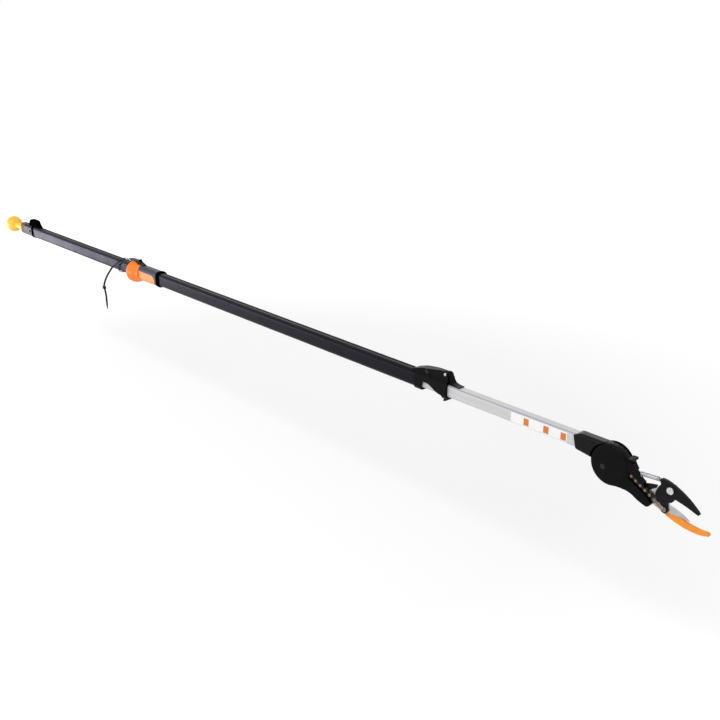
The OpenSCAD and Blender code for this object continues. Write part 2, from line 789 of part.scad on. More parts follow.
// Socket on the inner tube, with the round tongue that the head swivels on
module head_socket() {
    back = swivel_x - socket_len;
    mid_y = (tongue_y0 + tongue_y1) / 2;
    color("#121214")
    difference() {
        union() {
            intersection() {
                across(-inner_w, inner_w)
                    socket_side();
                union() {
                    along_x(back - 1, swivel_x)
                        inner_outline(socket_wall);
                    translate([back + 4, 0, bore_z])
                        rotate([0, 8, 0])
                            along_x(-8, 52)
                                oblong(inner_w + 2 * socket_wall, inner_h + 2 * socket_wall, inner_r + socket_wall);
                }
            }
            at_head()
                cross_pin(0, 0, 2 * tongue_r, tongue_y0, tongue_y1, $fn = 96);
        }
        for (y = [[-50, tongue_y0], [tongue_y1, 50]])
            at_head()
                cross_pin(0, 0, 2 * (disc_r + 0.6), y[0], y[1], $fn = 96);
        along_x(back - 2, back + 26)
            inner_outline(fit);
        at_head()
            strap_run(20 - socket_len, strap_t / 2 + 0.6, inner_strap_w + 0.8);
        at_head()
            cross_pin(0, 0, 2 * drum_r + 1.6, tongue_y0 + tongue_wall, tongue_y1 - tongue_wall, $fn = 96);
        at_head()
            cross_pin(0, 0, 8.4, tongue_y0 - 1, mid_y);
        at_head()
            cross_pin(0, 0, axle_d + 2 * fit, mid_y, tongue_y1 + 1);
        for (a = [-75 : 15 : 45])
            at_head()
                rotate([0, -lock_angle - a, 0])
                    cross_pin(tongue_r + 0.8, 0, 3, mid_y - 2.2, mid_y + 2.2);
        for (x = [8, 20])
            translate([back + x, 0, bore_z])
                rotate([-90, 0, 0])
                    cylinder(d = 3.2, h = inner_w);
    }
}

// Two grub screws that hold the socket on the tube, on the far side
module socket_screws() {
    color("#6d6d73")
    for (x = [8, 20])
        translate([swivel_x - socket_len + x, inner_w / 2 + 0.1, bore_z])
            rotate([-90, 0, 0])
                difference() {
                    cylinder(d = 3.1, h = socket_wall - 0.6);
                    translate([0, 0, socket_wall - 1.6])
                        cylinder(d = 1.6, h = 2, $fn = 6);
                }
}

// Lower edge of the arm in front of the round housing, from the swivel axis
arm_edge = concat(
    bow([4, -disc_r + 1], [26, -30.6], 0.8),
    bow([26, -30.6], [46, -35.2], 1.4),
    bow([46, -35.2], [64, -42.6], -0.6),
    bow([64, -42.6], [74, -39.6], -2.2),
    bow([74, -39.6], [78, -20], -1));

// Arm on the near side of the chain, with the heel that the spring hangs on
module front_arm() {
    polygon(concat(arm_edge,
        bow([78, -20], [60, -6], 1),
        bow([60, -6], [52.6, 0.4], 0.8),
        bow([52.6, 0.4], [51, 6.4], -0.8),
        bow([51, 6.4], [42, 16.8], 1),
        [[30, 16.8], [20, 16.8], [0, 0]]));
}

// Arm on the far side, behind the hook
module rear_arm() {
    polygon(concat(arm_edge,
        bow([78, -20], [75, -13.8], -0.4),
        bow([75, -13.8], [54.4, -17.3], 1),
        bow([54.4, -17.3], [47.6, -10.9], 0.8),
        bow([47.6, -10.9], [37.8, 8.6], 0.6),
        bow([37.8, 8.6], [34.8, 15.6]),
        [[34.8, 15.6], [33, 16.8], [20, 16.8], [0, 0]]));
}

// Strip along the chain's line, from the swivel axis
module chain_strip(back, ahead, half) {
    translate(tangent_at)
        rotate(chain_slope)
            translate([-back, -half])
                square([back + ahead, 2 * half]);
}

// Round shell with a rolled edge, from its flat inner face at y = 0 outwards by t
module round_shell(t) {
    edge = min(4, t - 0.3);
    rotate([90, 0, 0])
        rotate_extrude($fn = 96)
            polygon(concat([[0, 0], [disc_r, 0]], arc([disc_r - edge, t - edge], edge, 0, 90, 6), [[0, t]]));
}

// Front half of the head's housing, open along the chain
module front_housing() {
    swept_r = 43;
    hook_room = 1.3;
    color("#131315")
    at_head()
        difference() {
            union() {
                translate([0, shell_y0, 0])
                    round_shell(disc_half + shell_y0);
                across(arm_y0, shell_y0)
                    front_arm();
            }
            cross_pin(pivot[0], pivot[1], 2 * swept_r, -50, 0, $fn = 96);
            translate([bridge_x, blade_y0 - fit, -80])
                cube([90, 20, 120]);
            across(chain_y - chain_half - 0.4, 0)
                chain_strip(33, 90, link_h / 2 + 0.8);
            across(-50, 0)
                difference() {
                    chain_strip(10, 90, link_h / 2 + 1.2);
                    circle(disc_r + 0.6);
                }
            cross_pin(gear_at[0], gear_at[1], gear_m * (gear_teeth + 2) + 1.6, gear_y0 - 0.3, gear_y1 + 0.3);
            cross_pin(gear_at[0], gear_at[1], 2 * sprocket_r + 2, gear_y1, 0);
            cross_pin(0, 0, gear_m * (pinion_teeth + 2) + 1.6, gear_y0 - 0.3, 0);
            across(gear_y1, 0)
                rotate(gear_angle)
                    translate([0, -3])
                        square([gear_reach, 6]);
            cross_pin(0, 0, axle_d + 2 * fit, -disc_half + 0.6, 0);
            cross_pin(gear_at[0], gear_at[1], axle_d + 2 * fit, -disc_half + 0.6, 0);
            cross_pin(screw_at[0], screw_at[1], 5 + 2 * fit, -disc_half - 1, -disc_half + 6);
            cross_pin(screw_at[0], screw_at[1], 8.4, -disc_half - 1, -disc_half + 2);
            cross_pin(spring_from[0], spring_from[1], 3 + 2 * fit, arm_y0 + 1, 0);
            across(chain_y - hook_room, 0)
                translate(spring_from)
                    circle(hook_run - 1);
        }
}

// Rear half of the head's housing, with the bridge that carries the blades
module rear_housing() {
    color("#151517")
    at_head()
        difference() {
            union() {
                translate([0, shell_y1, 0])
                    mirror([0, 1, 0])
                        round_shell(disc_half - shell_y1);
                across(hook_y1, arm_y1)
                    rear_arm();
                across(shell_y0, hook_y1)
                    difference() {
                        rear_arm();
                        translate([bridge_x, -60])
                            square([60, 90]);
                    }
            }
            cross_pin(0, 0, 2 * (tongue_r + 0.4), -50, shell_y1, $fn = 96);
            cross_pin(0, 0, axle_d + 2 * fit, 0, disc_half - 1);
            rotate([0, -lock_angle, 0])
                translate([0, lock_y0 - 0.3, -2.8])
                    cube([80, lock_y1 - lock_y0 + 0.6, 5.6]);
            for (p = rivets)
                cross_pin(p[0], p[1], 4 + 2 * fit, -50, arm_y1 - 1);
        }
}

module housing_screw() {
    color("#3a3a40")
    at_head()
        difference() {
            union() {
                cross_pin(screw_at[0], screw_at[1], 5, -disc_half + 1.9, -disc_half + 5.8);
                cross_pin(screw_at[0], screw_at[1], 8.2, -disc_half + 0.3, -disc_half + 2 - fit);
            }
            cross_pin(screw_at[0], screw_at[1], 4, -disc_half, -disc_half + 1.4, $fn = 6);
        }
}

module swivel_axle() {
    color("#a9a9ad")
    at_head()
        cross_pin(0, 0, axle_d, -disc_half + 0.8, disc_half - 1.2);
}

// Spring-loaded lock tooth with the thumb bar across the arm
module angle_lock() {
    color("#19191b")
    at_head()
        union() {
            rotate([0, -lock_angle, 0])
                translate([tongue_r + 0.8, lock_y0, -2.5])
                    cube([6.4, lock_y1 - lock_y0, 5]);
            across(-disc_half + 1.6, disc_half - 1.6)
                translate([33.6, 19.6])
                    oblong(9.4, 4.4, 1.4);
        }
}

// Flat gear of straight-sided teeth
module gear_flat(teeth, m) {
    root = m * teeth / 2 - 1.25 * m;
    tip = m * teeth / 2 + m;
    step = 360 / teeth;
    polygon([for (i = [0 : teeth - 1], k = [[root, -0.28], [tip - m, -0.2], [tip - 0.2 * m, -0.09],
        [tip - 0.2 * m, 0.09], [tip - m, 0.2], [root, 0.28]])
        k[0] * [cos(step * (i + k[1])), sin(step * (i + k[1]))]]);
}

// Drum on the swivel axis with its pinion
module strap_drum() {
    color("#8d8d92")
    at_head()
        difference() {
            union() {
                cross_pin(0, 0, 2 * drum_hub, drum_y0, drum_y1);
                for (y = [drum_y0, drum_y1 - flange_t])
                    cross_pin(0, 0, 2 * drum_r, y, y + flange_t);
                cross_pin(0, 0, 7.6, gear_y1 + 0.2, drum_y0 + flange_t);
                across(gear_y0, gear_y1 + 0.2)
                    rotate(gear_angle + 180 / pinion_teeth)
                        gear_flat(pinion_teeth, gear_m);
            }
            cross_pin(0, 0, axle_d + 2 * fit, -50, 50);
        }
}

module reduction_gear() {
    color("#9a9a9f")
    at_head()
        difference() {
            union() {
                across(gear_y0, gear_y1)
                    translate(gear_at)
                        rotate(gear_angle + 180)
                            gear_flat(gear_teeth, gear_m);
                cross_pin(gear_at[0], gear_at[1], 8, gear_y1, chain_y - sprocket_half);
            }
            cross_pin(gear_at[0], gear_at[1], axle_d + 2 * fit, -50, 0);
        }
}

// Sprocket with a seat for each roller
module chain_sprocket() {
    color("#8f8f95")
    at_head()
        difference() {
            cross_pin(gear_at[0], gear_at[1], 2 * sprocket_r, chain_y - sprocket_half, chain_y + sprocket_half);
            for (i = [0 : sprocket_teeth - 1])
                translate([gear_at[0], 0, gear_at[1]])
                    rotate([0, -seat_angle - 360 * i / sprocket_teeth, 0])
                        cross_pin(sprocket_r, 0, roller_d + 2.6, -50, 0);
            cross_pin(gear_at[0], gear_at[1], axle_d + 2 * fit, -50, 0);
        }
}

module gear_axle() {
    color("#a9a9ad")
    at_head()
        cross_pin(gear_at[0], gear_at[1], axle_d, -disc_half + 0.8, shell_y0 - 0.3);
}

// Place of chain pin i, counted back from the jaw
function chain_at(i) = chain_end - i * chain_pitch * chain_dir;

// Pair of link plates between pins i and i + 1
module link_plates(i, y) {
    for (s = [0, 1])
        translate([0, s == 0 ? chain_y + y : chain_y - y - link_t, 0])
            across(0, link_t)
                translate(chain_at(i))
                    rotate(chain_slope + 180) {
                        circle(d = link_h);
                        translate([chain_pitch, 0])
                            circle(d = link_h);
                        translate([0, -link_h * 0.38])
                            square([chain_pitch, link_h * 0.76]);
                    }
}

// Inner links with their bushes and rollers
module chain_inner_links() {
    color("#b4b4ba")
    at_head()
        difference() {
            for (i = [0 : 2 : chain_pins - 2]) {
                link_plates(i, inner_gap);
                for (k = [i, i + 1])
                    if (k > 0)
                        cross_pin(chain_at(k)[0], chain_at(k)[1], roller_d, chain_y - inner_gap, chain_y + inner_gap);
            }
            for (i = [0 : chain_pins - 1])
                cross_pin(chain_at(i)[0], chain_at(i)[1], chain_pin_d + 2 * fit, -50, 0);
        }
}

// Outer links with their pins
module chain_outer_links() {
    color("#c6c6cc")
    at_head() {
        for (i = [1 : 2 : chain_pins - 2])
            link_plates(i, outer_gap);
        for (i = [0 : chain_pins - 1])
            cross_pin(chain_at(i)[0], chain_at(i)[1], chain_pin_d,
                chain_y - chain_half, chain_y + chain_half);
    }
}

// Side view of the cutting jaw from its pivot
module jaw_outline() {
    lobe = chain_end - pivot;
    polygon(concat(
        bow([-16, 13.5], [-19.4, 11.5], 0.8),
        bow([-19.4, 11.5], [-16.6, 4], -0.4),
        bow([-16.6, 4], [-24.4, -13], -1),
        bow([-24.4, -13], [-19.6, -22.8], -1),
        bow([-19.6, -22.8], lobe + 5.2 * [cos(132), sin(132)]),
        arc(lobe, 5.2, 132, 208, 6),
        arc(lobe, 6, 216, 350, 10),
        bow(lobe + 6 * [cos(350), sin(350)], [-4.5, -20.5], 1),
        bow([-4.5, -20.5], [6.5, -11.7], -3.4),
        bow([6.5, -11.7], [44.5, -22.4], 1.2),
        arc([45.3, -20.3], 1.9, 250, 420, 6),
        bow([46.5, -18.6], [-12.5, 14], -4.6, 14)));
}

// Black hooked jaw that cuts past the counter blade
module cutting_jaw() {
    lobe = chain_end;
    color("#1c1b1f")
    at_head()
        difference() {
            across(jaw_y0, jaw_y1)
                translate(pivot)
                    jaw_outline();
            cross_pin(pivot[0], pivot[1], pivot_d + 2 * fit, -50, 50);
            cross_pin(spring_to[0], spring_to[1], 3, -50, 50);
            cross_pin(lobe[0], lobe[1], chain_pin_d + 2 * chain_play, -50, 50);
            for (y = [[-50, chain_y - inner_gap + 0.3], [chain_y + inner_gap - 0.3, 50]])
                across(y[0], y[1]) {
                    translate(lobe)
                        circle(8);
                    translate(lobe)
                        polygon([4.6 * chain_up + 2 * chain_dir, 4.6 * chain_up - 40 * chain_dir, [-40, -12], [0, -8]]);
                }
            cross_pin(spring_to[0] - 4, spring_to[1], 10, chain_y - 1.2, chain_y + 1.2);
        }
}

module pivot_bolt() {
    color("#c8c8cc")
    at_head()
        difference() {
            union() {
                cross_pin(pivot[0], pivot[1], pivot_d, jaw_y0 - 0.5, blade_y1 + 4);
                cross_pin(pivot[0], pivot[1], pivot_head_d, jaw_y0 - 3, jaw_y0 - face_gap);
            }
            translate([pivot[0] - 0.8, jaw_y0 - 4, pivot[1] - 8])
                cube([1.6, 1.6, 16]);
        }
}

module pivot_nut() {
    color("#b5b5ba")
    at_head()
        difference() {
            cross_pin(pivot[0], pivot[1], pivot_d + 4, blade_y1, blade_y1 + 3.4, $fn = 6);
            cross_pin(pivot[0], pivot[1], pivot_d + 2 * fit, -50, 50);
        }
}

// Steel plate that carries the pivot and has the lower cutting edge
module counter_blade() {
    boss_r = pivot_d / 2 + 4.2;
    color("#b9b9b8")
    at_head()
        difference() {
            across(blade_y0, blade_y1)
                polygon(concat(
                    bow([135.4, -44], [109.4, -43.4], -1),
                    bow([109.4, -43.4], [78.4, -39], 1),
                    bow([78.4, -39], [54.4, -32]),
                    bow([54.4, -32], [54.4, -20]),
                    bow([54.4, -20], [76.4, -10], 2),
                    bow([76.4, -10], pivot + boss_r * [cos(135), sin(135)], 1),
                    arc(pivot, boss_r, 135, -20, 10),
                    bow(pivot + boss_r * [cos(-25), sin(-25)], [100.4, -30], -3),
                    bow([100.4, -30], [135.4, -44], 1.6)));
            cross_pin(pivot[0], pivot[1], pivot_d + 2 * fit, -50, 50);
            for (p = rivets)
                cross_pin(p[0], p[1], 4 + 2 * fit, -50, 50);
        }
}

// Coated hook behind the counter blade
module hook() {
    color("#f39a2e")
    at_head()
        difference() {
            across(blade_y1, hook_y1)
                polygon(concat(
                    bow([54.4, -35], [90.4, -47], 1),
                    bow([90.4, -47], [142.4, -59.6], -3),
                    bow([142.4, -59.6], [162.2, -56.8], -0.8),
                    arc([162.8, -53.4], 3.4, 255, 430, 8),
                    bow([162.4, -50], [132.4, -48.4], 1),
                    bow([132.4, -48.4], [100.4, -34], 2),
                    bow([100.4, -34], [76.4, -23], 1),
                    bow([76.4, -23], [54.4, -20])));
            for (p = rivets)
                cross_pin(p[0], p[1], 4 + 2 * fit, -50, 50);
        }
}

module hook_rivets() {
    color("#c2c2c6")
    at_head()
        for (p = rivets)
            cross_pin(p[0], p[1], 4, blade_y0 + 0.2, arm_y1 - 1.2);
}

// Pull spring between the arm and the heel of the jaw
spring_axis = spring_to - spring_from;
spring_len = norm(spring_axis);
coil_r = (spring_d - wire_d) / 2;
coil_rings = spring_turns * 8;
coil_len = spring_len - 2 * hook_run;
function coil_point(i) = let (a = 45 * i)
    [hook_run + coil_len * i / coil_rings, coil_r * cos(a), coil_r * sin(a)];
spring_path = concat(
    [[1.8, 0, 0], [3.2, 0, 0], [4.6, 0, 0]],
    [for (i = [0 : coil_rings]) coil_point(i)],
    [[spring_len - 4.6, 0, 0], [spring_len - 3.2, 0, 0], [spring_len - 1.2, 0, 0]]);
spring_gap = min([for (i = [0 : 8], j = [i + 6 : i + 10]) norm(coil_point(i) - coil_point(j))]) - wire_d;
echo(spring_gap = spring_gap);

module return_spring() {
    color("#c9c9cc")
    at_head()
        translate([spring_from[0], chain_y, spring_from[1]])
            rotate([0, -spring_tilt, 0])
                swept(spring_path, wire_d / 2, 6);
}

module spring_pin() {
    color("#d5d5d8")
    at_head()
        cross_pin(spring_from[0], spring_from[1], 3, arm_y0 + 1.2, chain_y + 2);
}

outer_tube();
end_plug();
plug_screw();
hangup_fin();
fin_band();
channel_strap();
clamp_body();
clamp_screw();
clamp_pad();
lever_pin();
clamp_lever();
ball_knob();
ball_strap();
handle_bell();
grip_sleeve();
grip_lip();
strap_shoe();
latch_pin();
handle_latch();
tie_strap();
tie_head();
tie_tail();
inner_tube();
foot_bush();
inner_strap();
head_socket();
socket_screws();
front_housing();
rear_housing();
housing_screw();
swivel_axle();
angle_lock();
strap_drum();
reduction_gear();
chain_sprocket();
gear_axle();
chain_inner_links();
chain_outer_links();
cutting_jaw();
pivot_bolt();
pivot_nut();
counter_blade();
hook();
hook_rivets();
return_spring();
spring_pin();
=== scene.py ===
import bpy
import bmesh
import math
from mathutils import Matrix, Vector


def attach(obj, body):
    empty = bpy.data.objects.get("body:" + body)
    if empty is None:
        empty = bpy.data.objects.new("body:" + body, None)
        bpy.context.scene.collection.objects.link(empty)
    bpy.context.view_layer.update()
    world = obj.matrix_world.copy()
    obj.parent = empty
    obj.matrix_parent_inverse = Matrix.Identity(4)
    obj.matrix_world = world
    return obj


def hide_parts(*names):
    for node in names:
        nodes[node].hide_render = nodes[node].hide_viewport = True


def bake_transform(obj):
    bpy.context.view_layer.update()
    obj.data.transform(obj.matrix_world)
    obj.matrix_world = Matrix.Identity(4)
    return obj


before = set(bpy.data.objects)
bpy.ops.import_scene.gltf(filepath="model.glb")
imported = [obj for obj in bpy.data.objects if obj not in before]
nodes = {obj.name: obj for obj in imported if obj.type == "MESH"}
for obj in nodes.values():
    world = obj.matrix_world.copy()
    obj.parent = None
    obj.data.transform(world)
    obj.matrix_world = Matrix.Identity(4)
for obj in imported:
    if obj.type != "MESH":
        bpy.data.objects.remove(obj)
scene = bpy.context.scene
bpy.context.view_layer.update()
print("frame loaded:", len(nodes), "nodes")


def aimAlong(thing, direction):  # turns a camera or a lamp
    thing.rotation_mode = "QUATERNION"
    thing.rotation_quaternion = Vector(direction).to_track_quat("-Z", "Y")


# the camera stands in front of the head, above it, and looks back along the pole
cameraSettings = {"place": (1.7631, -1.1567, 0.6303), "look": (-0.6978, 0.6265, -0.3471),
                  "lens": 47.5, "sensor": 36, "clipEnd": 60}
cameraData = bpy.data.cameras.new("poleCamera")
cameraData.lens = cameraSettings["lens"]
cameraData.sensor_width = cameraSettings["sensor"]
cameraData.clip_end = cameraSettings["clipEnd"]
camera = bpy.data.objects.new("poleCamera", cameraData)
scene.collection.objects.link(camera)
camera.location = cameraSettings["place"]
aimAlong(camera, cameraSettings["look"])
scene.camera = camera
print("camera set")


def addObject(name, bm):  # turns a bmesh into an object at the origin
    order = Vector((1, 0.31, 0.17))  # the operators leave no fixed order, so points and faces are sorted along this
    bm.verts.sort(key=lambda v: v.co.dot(order))
    bm.faces.sort(key=lambda f: f.calc_center_median().dot(order))
    mesh = bpy.data.meshes.new(name)
    bm.to_mesh(mesh)
    bm.free()
    piece = bpy.data.objects.new(name, mesh)
    scene.collection.objects.link(piece)
    for face in mesh.polygons:
        face.use_smooth = True
    return piece


def vertsOf(geom):
    return [v for v in geom if isinstance(v, bmesh.types.BMVert)]


def smoothRoute(points, steps):  # one smooth line through all the points
    line = []
    last = len(points) - 1
    for i in range(last):
        a, b, c, d = (Vector(points[k]) for k in (max(i - 1, 0), i, i + 1, min(i + 2, last)))
        for j in range(steps):
            t = j / steps
            line.append(0.5 * (2 * b + t * (c - a) + t * t * (2 * a - 5 * b + 4 * c - d)
                               + t ** 3 * (3 * b - a - 3 * c + d)))
    line.append(Vector(points[last]))
    return line


# nylon tie: out of the bell, once round the tube, down to its lock head and on to its tip
tieBand = {
    "route": [
        (-0.388, -0.012, 0.015), (-0.398, -0.012, 0.015), (-0.411, -0.0124, 0.015), (-0.424, -0.0132, 0.0148),
        (-0.438, -0.0139, 0.0115), (-0.448, -0.0141, 0.0068), (-0.4534, -0.0142, 0), (-0.4554, -0.0141, -0.0076),
        (-0.4555, -0.0127, -0.0134), (-0.455, -0.0089, -0.0172), (-0.454, -0.0036, -0.0186), (-0.453, 0.0036, -0.0186),
        (-0.4522, 0.0089, -0.0172), (-0.4514, 0.0127, -0.0134), (-0.4505, 0.0141, -0.0076), (-0.4495, 0.0142, 0),
        (-0.4488, 0.0141, 0.0076), (-0.4483, 0.0127, 0.0134), (-0.4479, 0.0089, 0.0172), (-0.4475, 0.0036, 0.0186),
        (-0.447, -0.004, 0.0188), (-0.446, -0.0105, 0.0172), (-0.4464, -0.0156, 0.0134), (-0.4505, -0.018, 0.009),
        (-0.462, -0.0184, 0.002), (-0.479, -0.0184, -0.0076), (-0.490, -0.0196, -0.018), (-0.501, -0.0212, -0.0297),
        (-0.508, -0.0226, -0.0382), (-0.5134, -0.0242, -0.047), (-0.517, -0.0264, -0.057), (-0.5186, -0.028, -0.0655),
        (-0.5168, -0.028, -0.0744), (-0.514, -0.028, -0.0805), (-0.512, -0.028, -0.090), (-0.5115, -0.028, -0.100),
        (-0.5115, -0.028, -0.110), (-0.5115, -0.028, -0.120), (-0.511, -0.028, -0.128)],
    "stepsPerPoint": 3, "sides": 12, "flatten": 1.6, "width": 0.0048, "thickness": 0.0014,
    "tipRings": 5, "tipShare": 0.35,  # the last rings narrow to this share of the width
    "wrapped": 62, "hanging": 76, "hangFace": (0.8, -0.6, 0),  # between these rings its face turns this way
    "head": (-0.518, -0.028, -0.070), "headSize": (0.009, 0.0064, 0.0076),
    "windowRim": 0.0014, "windowDepth": 0.0012, "headBevel": 0.0006, "headBevelSteps": 3, "headSharpDegrees": 30}
tieLine = smoothRoute(tieBand["route"], tieBand["stepsPerPoint"])
lastRing = len(tieLine) - 1
bm = bmesh.new()
ring = bmesh.ops.create_circle(bm, segments=tieBand["sides"], radius=1)["verts"]
# the round is stood across the run and flattened to a band with rounded edges
section = [Vector((0, v.co.x, math.copysign(min(1, tieBand["flatten"] * abs(v.co.y)), v.co.y))) for v in ring]
metresAt = {}
gone = 0
for i, at in enumerate(tieLine):
    before = tieLine[max(i - 1, 0)]
    gone += (at - before).length
    ahead = (tieLine[min(i + 1, lastRing)] - before).normalized()
    slack = min(1, max(0, (i - tieBand["wrapped"]) / (tieBand["hanging"] - tieBand["wrapped"])))
    side = Vector((0, at.y, at.z)).normalized()  # flat on the tube, then twisted as it hangs
    side = side.lerp(Vector(tieBand["hangFace"]), slack)
    side = (side - side.dot(ahead) * ahead).normalized()
    turn = Matrix((ahead, ahead.cross(side), side)).transposed().to_4x4()
    slim = min(1, tieBand["tipShare"] + (1 - tieBand["tipShare"]) * (lastRing - i) / tieBand["tipRings"])
    size = Matrix.Diagonal((1, tieBand["width"] / 2 * slim, tieBand["thickness"] / 2, 1))
    place = Matrix.Translation(at) @ turn @ size
    if i:
        around = dict.fromkeys(e for v in ring for e in v.link_edges)
        edges = [e for e in around if all(v in ring for v in e.verts)]
        fresh = vertsOf(bmesh.ops.extrude_edge_only(bm, edges=edges)["geom"])
        grown = {next(e.other_vert(v) for e in v.link_edges if e.other_vert(v) in ring): v for v in fresh}
        ring = [grown[v] for v in ring]
    for v, co in zip(ring, section):
        v.co = place @ co
        metresAt[v] = gone
bmesh.ops.holes_fill(bm, edges=bm.edges, sides=0)
bmesh.ops.recalc_face_normals(bm, faces=bm.faces)
uvLayer = bm.loops.layers.uv.new("alongBand")
for face in bm.faces:  # metres along the band, for its teeth
    for loop in face.loops:
        loop[uvLayer].uv = (metresAt[loop.vert], 0)
tie = addObject("tieBand", bm)
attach(tie, "handle")
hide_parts("tie_strap", "tie_tail")

# lock head of the tie: a bevelled block with a window round the band
bm = bmesh.new()
block = Matrix.Translation(tieBand["head"]) @ Matrix.Diagonal((*tieBand["headSize"], 1))
bmesh.ops.create_cube(bm, size=1, matrix=block)
ends = [f for f in bm.faces if round(f.normal.z)]  # top and bottom
bmesh.ops.inset_individual(bm, faces=ends, thickness=tieBand["windowRim"], depth=0)
for f in ends:
    bmesh.ops.translate(bm, verts=f.verts, vec=f.normal * -tieBand["windowDepth"])
rim = [e for e in bm.edges if e.calc_face_angle(0) > math.radians(tieBand["headSharpDegrees"])]
bmesh.ops.bevel(bm, geom=rim, offset=tieBand["headBevel"], offset_type="OFFSET",
                segments=tieBand["headBevelSteps"], profile=0.5, affect="EDGES", material=-1)
tieHead = addObject("tieLockHead", bm)
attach(tieHead, "handle")
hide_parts("tie_head")

# close-wound return spring between the arm and the heel of the jaw
returnSpring = {"from": (1.0997, -0.0036, -0.0160), "to": (1.1396, -0.0036, -0.0129),
                "radius": 0.0029, "wire": 0.00064, "wireSides": 8, "turns": 22, "stepsPerTurn": 14,
                "coilFrom": 0.0030, "coilTo": 0.0338, "firstBend": 0.0019, "lastBend": 0.0030, "pinGap": 0.0014,
                "coilFollows": 1.743}


def runWire(bm, edges, stops):  # carries an open ring of wire on to each stop
    for stop in stops:
        fresh = bmesh.ops.extrude_edge_only(bm, edges=edges)["geom"]
        tip = vertsOf(fresh)
        edges = [e for e in fresh if isinstance(e, bmesh.types.BMEdge) and all(v in tip for v in e.verts)]
        middle = sum((v.co for v in tip), Vector()) / len(tip)
        bmesh.ops.translate(bm, verts=tip, vec=stop - middle)


def closeWire(name, bm):  # caps the open rings
    bmesh.ops.holes_fill(bm, edges=bm.edges, sides=0)
    bmesh.ops.recalc_face_normals(bm, faces=bm.faces)
    wire = addObject(name, bm)
    return wire


springFrom, springTo = Vector(returnSpring["from"]), Vector(returnSpring["to"])
springAxis = (springTo - springFrom).normalized()
upward = springAxis.cross(Vector((0, 1, 0))).normalized() * -1
sideways = springAxis.cross(upward)

bm = bmesh.new()
ringPlace = Matrix((springAxis, upward, sideways)).transposed().to_4x4()
ringPlace.translation = springFrom + springAxis * returnSpring["coilFrom"] + upward * returnSpring["radius"]
ring = bmesh.ops.create_circle(bm, segments=returnSpring["wireSides"], radius=returnSpring["wire"],
                               matrix=ringPlace)["verts"]
ringEdges = bm.edges[:]
steps = returnSpring["turns"] * returnSpring["stepsPerTurn"]
rise = springAxis * (returnSpring["coilTo"] - returnSpring["coilFrom"]) / steps
bmesh.ops.spin(bm, geom=ring + ringEdges, cent=springFrom, axis=springAxis, dvec=rise,
               angle=2 * math.pi * returnSpring["turns"], steps=steps, use_merge=False)
runWire(bm, ringEdges, [springFrom + springAxis * returnSpring[stop] for stop in ("firstBend", "pinGap")])
spring = closeWire("returnSpringCoil", bm)
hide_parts("return_spring")

bm = bmesh.new()
ringPlace = Matrix((upward, sideways, springAxis)).transposed().to_4x4()
ringPlace.translation = springFrom + springAxis * returnSpring["coilTo"] + upward * returnSpring["radius"]
bmesh.ops.create_circle(bm, segments=returnSpring["wireSides"], radius=returnSpring["wire"], matrix=ringPlace)
runWire(bm, bm.edges[:], [springTo - springAxis * returnSpring[stop] for stop in ("lastBend", "pinGap")])
springEnd = closeWire("returnSpringEnd", bm)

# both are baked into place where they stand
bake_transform(spring)
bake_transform(springEnd)
print("spring wound,", returnSpring["turns"], "turns")

# black spine along the back edge of the counter blade, from the housing to the jaw
bladeSpine = {"swivel": (1.0505, -0.0196), "near": -0.00128, "far": 0.0016, "bevel": 0.0004, "bevelSteps": 2,
              "outline": [(0.0520, -0.0220), (0.0535, -0.0150), (0.0607, -0.0102), (0.0700, -0.0078),
                          (0.0786, -0.0062), (0.0786, -0.0108), (0.0705, -0.0160), (0.0637, -0.0216)]}
swivelX, swivelZ = bladeSpine["swivel"]
bm = bmesh.new()
plate = bm.faces.new([bm.verts.new((swivelX + x, bladeSpine["near"], swivelZ + z))
                      for x, z in bladeSpine["outline"]])
fresh = vertsOf(bmesh.ops.extrude_face_region(bm, geom=[plate])["geom"])
bmesh.ops.translate(bm, verts=fresh, vec=(0, bladeSpine["far"] - bladeSpine["near"], 0))
bmesh.ops.recalc_face_normals(bm, faces=bm.faces)
bmesh.ops.bevel(bm, geom=bm.edges[:], offset=bladeSpine["bevel"], offset_type="OFFSET",
                segments=bladeSpine["bevelSteps"], profile=0.5, affect="EDGES", material=-1)
spine = addObject("bladeSpine", bm)
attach(spine, "head")
print("blade spine made")

# thin paper label that hugs the near side of the bright tube
label = {"from": 0.858, "to": 0.9708, "middle": -0.0014, "halfWidth": 0.009, "halfHeight": 0.0115, "corner": 0.0045,
         "top": 0.0066, "bottom": -0.0125, "rows": 20, "proud": 0.00012, "thickness": 0.0001, "sharpDegrees": 40,
         "squares": (0.890, 0.930, 0.964), "squareLength": 0.0105, "squareTop": 0.0040, "squareBottom": -0.0085,
         "squareColour": "#C9743A", "paper": "#E0DFDD", "palerPaper": "#EBEAE8"}
bm = bmesh.new()
line = []
for i in range(label["rows"] + 1):
    z = label["bottom"] + (label["top"] - label["bottom"]) * i / label["rows"]
    away = max(0, abs(z - label["middle"]) - (label["halfHeight"] - label["corner"]))
    y = label["halfWidth"] - label["corner"] + math.sqrt(max(0, label["corner"] ** 2 - away ** 2))
    line.append(bm.verts.new((label["from"], -y - label["proud"], z)))
edges = [bm.edges.new(pair) for pair in zip(line, line[1:])]
fresh = vertsOf(bmesh.ops.extrude_edge_only(bm, edges=edges)["geom"])
bmesh.ops.translate(bm, verts=fresh, vec=(label["to"] - label["from"], 0, 0))
bmesh.ops.solidify(bm, geom=bm.faces[:], thickness=label["thickness"])
bmesh.ops.recalc_face_normals(bm, faces=bm.faces)
labelStrip = addObject("labelStrip", bm)
labelStrip.data.set_sharp_from_angle(angle=math.radians(label["sharpDegrees"]))
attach(labelStrip, "inner_pole")
print("label made")


